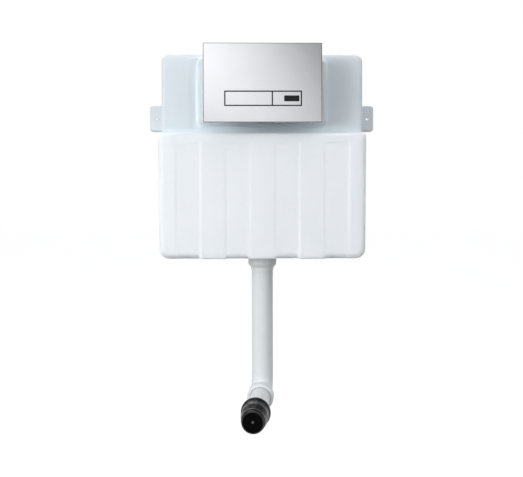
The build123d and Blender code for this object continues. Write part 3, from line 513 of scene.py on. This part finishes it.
def thread_rings(axis, low_z, high_z, root, crest, pitch, sides):
    """Sections of a thread wound about a vertical axis, which fades out at both ends."""
    sink = 0.0002
    foot = 0.48 * pitch
    land = 0.07 * pitch
    fade_turns = 0.25
    turns = (high_z - low_z - pitch) / pitch
    rings = []
    for step in range(int(turns * sides) + 1):
        turn = step / sides
        fade = max(min(1.0, turn / fade_turns, (turns - turn) / fade_turns), 0.0)
        tip = root + (crest - root) * fade
        angle = turn * math.tau
        across = Vector((math.cos(angle), math.sin(angle), 0.0))
        middle = axis + (low_z + pitch * (turn + 0.5)) * UP
        section = ((root - sink, -foot), (tip, -land), (tip, land), (root - sink, foot))
        rings.append([middle + radius * across + rise * UP for radius, rise in section])
    return rings


def threaded_nipple():
    """The inlet connection with its real half-inch pipe thread, in place of the plain one."""
    crest = 0.01048
    pitch = 0.001814
    thread_depth = 0.55 * pitch
    root = crest - thread_depth
    bore = 0.0075
    flange_depth = 0.004
    run_in = 0.0005
    tip_drop = 0.0008
    tip_inset = 0.0006
    bore_bevel = 0.0004
    thread_gap = 0.001
    sides = 48
    low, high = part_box("inlet_nipple")
    flange = (high.x - low.x) / 2
    washer_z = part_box("inlet_washer")[0].z
    nut_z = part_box("inlet_locknut")[0].z
    outline = [
        (bore, low.z), (crest, low.z),
        (crest, washer_z - flange_depth), (flange, washer_z - flange_depth),
        (flange, washer_z), (crest, washer_z),
        (crest, nut_z), (root, nut_z + run_in),
        (root, high.z - tip_drop), (root - tip_inset, high.z),
        (bore + bore_bevel, high.z), (bore, high.z - bore_bevel),
    ]
    axis = Vector(((low.x + high.x) / 2, (low.y + high.y) / 2, 0.0))
    bar = [ring_round(axis + z * UP, UP, RIGHT, radius, sides) for radius, z in outline]
    thread = thread_rings(axis, nut_z + thread_gap, high.z - thread_gap, root, crest, pitch, sides)
    vertices = flat_list(bar)
    faces = skin(bar, looped=True)
    faces += [tuple(len(vertices) + corner for corner in face) for face in skin(thread)]
    vertices += flat_list(thread)
    piece = mesh_piece("threaded_nipple", vertices, faces, "brass", "cistern")
    piece.data.set_sharp_from_angle(angle=math.radians(35))
    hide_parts("inlet_nipple")


def ferrule(name, end, inward):
    """A sleeve crimped twice on the hose, from its end towards a point further in."""
    length = 0.014
    radius = 0.0072
    mouth_radius = 0.0068
    heel_radius = 0.0064
    edge = 0.0004
    crimp_starts = (0.0045, 0.0082)
    crimp_radius = 0.0066
    crimp_floor = 0.0006
    crimp_width = 0.0014
    sides = 32
    profile = [(0.0, mouth_radius), (edge, radius)]
    for start in crimp_starts:
        profile += [(start, radius), (start + crimp_floor, crimp_radius), (start + crimp_width, radius)]
    profile += [(length - edge, radius), (length, heel_radius)]
    ahead = (inward - end).normalized()
    side = ahead.orthogonal().normalized()
    bands = [ring_round(end + ahead * along, ahead, side, reach, sides) for along, reach in profile]
    mesh_piece(name, flat_list(bands), skin(bands), "steel", "cistern")


def braided_hose():
    """The supply hose along its route, woven in steel, with a crimped ferrule at each end."""
    radius = 0.006
    sides = 24
    drop_steps = 8
    arc_steps = 72
    low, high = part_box("supply_hose")
    bend = (high.x - low.x) / 2 - radius
    turn_z = low.z + radius + bend
    start = Vector((high.x - radius, (low.y + high.y) / 2, high.z))
    centre = Vector((start.x - bend, start.y, turn_z))
    path = [start + (turn_z - start.z) * step / drop_steps * UP for step in range(drop_steps)]
    for step in range(arc_steps + 1):
        angle = -math.pi * step / arc_steps
        path.append(centre + bend * (math.cos(angle) * RIGHT + math.sin(angle) * UP))
    rings = round_rings(path, radius, sides)
    run = [0.0]
    for near, far in zip(path, path[1:]):
        run.append(run[-1] + (far - near).length)
    uvs = [(spot / sides, length) for length in run for spot in range(sides)]
    hose = mesh_piece("braided_hose", flat_list(rings), skin(rings), "braid", "cistern", uvs)
    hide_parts("supply_hose")
    ferrule("ferrule_stop", path[0], path[1])
    ferrule("ferrule_fill", path[-1], path[-2])


def corner(centre_x, centre_z, radius, start, end):
    """Points round a corner from start to end, in degrees, each with its outward direction."""
    steps = 12
    points = []
    for step in range(steps + 1):
        angle = math.radians(start + (end - start) * step / steps)
        across = math.cos(angle)
        up = math.sin(angle)
        points.append((centre_x + radius * across, centre_z + radius * up, across, up))
    return points


def mirrored(points):
    """The same points on the tank's other side, in the opposite order."""
    return [(-x, z, -across, up) for x, z, across, up in reversed(points)]


def parting_line():
    """The thin seam that blow moulding leaves round the tank, but for a gap at the outlet nut."""
    seam_y = -0.070
    half_width = 0.0007
    height = 0.0006
    sink = 0.0004
    shoulder = 0.3 * height
    flat = 0.4 * half_width
    floor_corner = 0.022
    top_corner = 0.016
    nut_gap = 0.004
    gap_below_shelf = 0.004
    gap_above_shelf = 0.002
    half_floor, half_shelf, half_top = TANK_HALF_WIDTHS
    shell_low, shell_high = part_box("tank_shell")
    nut_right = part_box("outlet_nut")[1].x
    right = [(nut_right + nut_gap, shell_low.z, 0.0, -1.0)]
    right += corner(half_floor - floor_corner, shell_low.z + floor_corner, floor_corner, -90, 0)
    right.append((half_shelf, SHELF_Z - gap_below_shelf, 1.0, 0.0))
    crown = [(half_top, SHELF_Z + gap_above_shelf, 1.0, 0.0)]
    crown += corner(half_top - top_corner, shell_high.z - top_corner, top_corner, 0, 90)
    crown += mirrored(crown)
    section = [(-half_width, -sink), (-half_width, shoulder), (-flat, height)]
    section += [(-along, rise) for along, rise in reversed(section)]
    for name, line in (("seam_right", right), ("seam_crown", crown), ("seam_left", mirrored(right))):
        rings = []
        for x, z, across, up in line:
            ring = [Vector((x + across * rise, seam_y + along, z + up * rise)) for along, rise in section]
            rings.append(ring)
        mesh_piece(name, flat_list(rings), skin(rings), "tank_plastic", "cistern")


def floor_paint():
    """White and shadowed to the rays that show the background, and a plain grey to the rest."""
    data = bpy.data.materials.new("floor")
    data.use_nodes = True
    graph = Graph(data.node_tree)
    graph.tree.nodes.remove(graph.tree.nodes["Principled BSDF"])
    glow = graph.shader("ShaderNodeEmission", WHITE, FLOOR_GLOW)
    shadowed = graph.shader("ShaderNodeBsdfDiffuse", grey(FLOOR_SHADOWED))
    bright = graph.join("ShaderNodeAddShader", glow, shadowed)
    dull = graph.shader("ShaderNodeBsdfDiffuse", grey(FLOOR_BOUNCE))
    path = graph.node("ShaderNodeLightPath").outputs
    seen = graph.reckon("MAXIMUM", path["Is Camera Ray"], path["Is Glossy Ray"])
    seen = graph.reckon("MAXIMUM", seen, path["Is Transmission Ray"])
    shown = graph.join("ShaderNodeMixShader", seen, dull, bright)
    graph.feed(graph.tree.nodes["Material Output"].inputs["Surface"], shown)
    return data


def stage_floor():
    """A plain floor below the pan connector."""
    floor_z = cad_low.z - FLOOR_DROP
    signs = ((-1, -1), (1, -1), (1, 1), (-1, 1))
    corners = [(across * FLOOR_REACH, back * FLOOR_REACH, floor_z) for across, back in signs]
    mesh = bpy.data.meshes.new("floor")
    mesh.from_pydata(corners, [], [(0, 1, 2, 3)])
    mesh.materials.append(floor_paint())
    floor = added("floor", mesh)


def fill_strength(graph, right, back, up):
    """How bright the world is to dull surfaces, by the direction that they look in."""
    left = graph.reckon("MULTIPLY", right, -1.0)
    front = graph.reckon("MULTIPLY", back, -1.0)
    focused_front = graph.reckon("POWER", graph.reckon("MAXIMUM", front, 0.0), FRONT_FOCUS)
    strength = FILL_EVEN
    shares = ((up, FILL_ABOVE), (left, FILL_LEFT), (right, FILL_RIGHT), (focused_front, FILL_FRONT))
    for direction, share in shares:
        strength = graph.reckon("MULTIPLY_ADD", graph.reckon("MAXIMUM", direction, 0.0), share, strength)
    return strength


def gloss_strength(graph, right, back, up):
    """How bright the studio is that shiny surfaces mirror, by direction."""
    peak = graph.reckon("MULTIPLY_ADD", up, BOX_PEAK_RISE, BOX_PEAK)
    middle = graph.reckon("MULTIPLY_ADD", up, BOX_LEAN, BOX_MIDDLE)
    aside = graph.reckon("SUBTRACT", right, middle)
    fallen = graph.reckon("MULTIPLY", graph.reckon("MULTIPLY", aside, aside), BOX_FALL)
    box = graph.reckon("MAXIMUM", graph.reckon("SUBTRACT", peak, fallen), CARD_LEVEL)
    room = graph.ramp(back, *ROOM_EDGES, 0.0, ROOM_LEVEL, kind="SMOOTHSTEP")
    ceiling = graph.ramp(up, *CEILING_EDGES, 1.0, CEILING_LEVEL, kind="SMOOTHSTEP")
    walls = graph.reckon("MULTIPLY", graph.reckon("MAXIMUM", box, room), ceiling)
    off_gap = graph.reckon("ABSOLUTE", graph.reckon("SUBTRACT", right, GAP_MIDDLE))
    gap = graph.ramp(off_gap, *GAP_EDGES, GAP_LEVEL, 1.0, kind="SMOOTHSTEP")
    lantern = graph.ramp(up, *LANTERN_EDGES, 0.0, LANTERN_LEVEL, kind="SMOOTHSTEP")
    return graph.reckon("MULTIPLY_ADD", lantern, gap, walls)


def studio_world():
    """White to the camera; to glossy rays, a studio that the plate mirrors; to the rest, a graded fill."""
    world = bpy.data.worlds.new("studio")
    bpy.context.scene.world = world
    world.use_nodes = True
    graph = Graph(world.node_tree)
    graph.tree.nodes.clear()
    coordinates = graph.node("ShaderNodeTexCoord").outputs
    split = graph.node("ShaderNodeSeparateXYZ")
    graph.feed(split.inputs["Vector"], coordinates["Generated"])
    fill = graph.shader("ShaderNodeBackground", FILL_COLOUR, fill_strength(graph, *split.outputs))
    gloss = graph.shader("ShaderNodeBackground", WHITE, gloss_strength(graph, *split.outputs))
    backdrop = graph.shader("ShaderNodeBackground", WHITE, 1.0)
    path = graph.node("ShaderNodeLightPath").outputs
    lit = graph.join("ShaderNodeMixShader", path["Is Glossy Ray"], fill, gloss)
    seen = graph.reckon("MAXIMUM", path["Is Camera Ray"], path["Is Transmission Ray"])
    shown = graph.join("ShaderNodeMixShader", seen, lit, backdrop)
    output = graph.node("ShaderNodeOutputWorld")
    graph.feed(output.inputs["Surface"], shown)


def key_light():
    """The round soft lamp, left out of mirrored rays so that it doesn't blot out the plate's face."""
    bearing = math.radians(KEY_BEARING)
    height = math.radians(KEY_HEIGHT)
    level = KEY_DISTANCE * math.cos(height)
    rise = KEY_DISTANCE * math.sin(height)
    offset = Vector((-level * math.sin(bearing), -level * math.cos(bearing), rise))
    lamp = bpy.data.lights.new("key_light", "AREA")
    lamp.shape = "DISK"
    lamp.size = KEY_SIZE
    lamp.energy = KEY_WATTS
    holder = added("key_light", lamp)
    holder.location = Vector(LAMP_AIM) + offset
    holder.rotation_euler = (-offset).to_track_quat("-Z", "Y").to_euler()
    holder.visible_glossy = False


def camera():
    """The camera at the photograph's place, angle and width of view."""
    data = bpy.data.cameras.new("camera")
    data.sensor_width = SENSOR_WIDTH
    data.lens = SENSOR_WIDTH * FOCAL_PIXELS / PHOTO_WIDTH
    data.shift_y = SHIFT_PIXELS / PHOTO_WIDTH
    data.clip_start = 0.05
    data.clip_end = 60.0
    made = added("camera", data)
    level = Matrix.Rotation(math.radians(90), 4, "X")
    pitch = Matrix.Rotation(math.radians(CAMERA_PITCH), 4, "X")
    yaw = Matrix.Rotation(math.radians(CAMERA_YAW), 4, "Z")
    roll = Matrix.Rotation(math.radians(-CAMERA_ROLL), 4, "Y")
    made.matrix_world = Matrix.Translation(CAMERA_PLACE) @ yaw @ pitch @ roll @ level
    bpy.context.scene.camera = made


materials = {
    "tank_plastic": tank_plastic(),
    "white_plastic": moulded("white_plastic", srgb(236, 238, 238)),
    "pipe_plastic": moulded("pipe_plastic", srgb(226, 231, 233), roughness=0.42, Specular_IOR_Level=0.3),
    # The nut's paler plastic is painted light, offsetting the shade under the tank
    "nut_plastic_painted_light": moulded("nut_plastic_painted_light", srgb(232, 236, 237), roughness=0.40),
    "satin_chrome": metal("satin_chrome", PLATE_COLOUR, PLATE_ROUGHNESS, PLATE_WEAR),
    "plate_chrome": plate_chrome(),
    "black_plastic": moulded("black_plastic", srgb(26, 26, 28), roughness=0.45, Specular_IOR_Level=0.3),
    "plug_plastic": plug_plastic(),
    "grey_plastic": moulded("grey_plastic", srgb(150, 155, 162), roughness=0.42),
    "blue_plastic": moulded("blue_plastic", srgb(40, 92, 160), roughness=0.38),
    "black_rubber": rubber(),
    "brass": metal("brass", srgb(205, 170, 105), roughness=0.25),
    "steel": metal("steel", srgb(190, 192, 196), roughness=0.28),
    "braid": braid(),
}

# Nodes that look a little unlike the rest of their slot: the nut paler as painted light, the plug with a
# painted highlight on its nib, the plate with painted shade round its edges
own_looks = {
    "outlet_nut": "nut_plastic_painted_light",
    "dust_plug": "plug_plastic",
    "flush_plate": "plate_chrome",
}

for part in frame["record"]["subparts"]:
    mesh = nodes[part["node"]].data
    mesh.materials.clear()
    mesh.materials.append(materials[own_looks.get(part["node"], part["material_slot"])])

button_spring("full_spring", "full_button_spring")
button_spring("half_spring", "half_button_spring")
threaded_nipple()
braided_hose()
parting_line()
stage_floor()
studio_world()
key_light()
camera()
bpy.context.scene.view_settings.view_transform = "Standard"
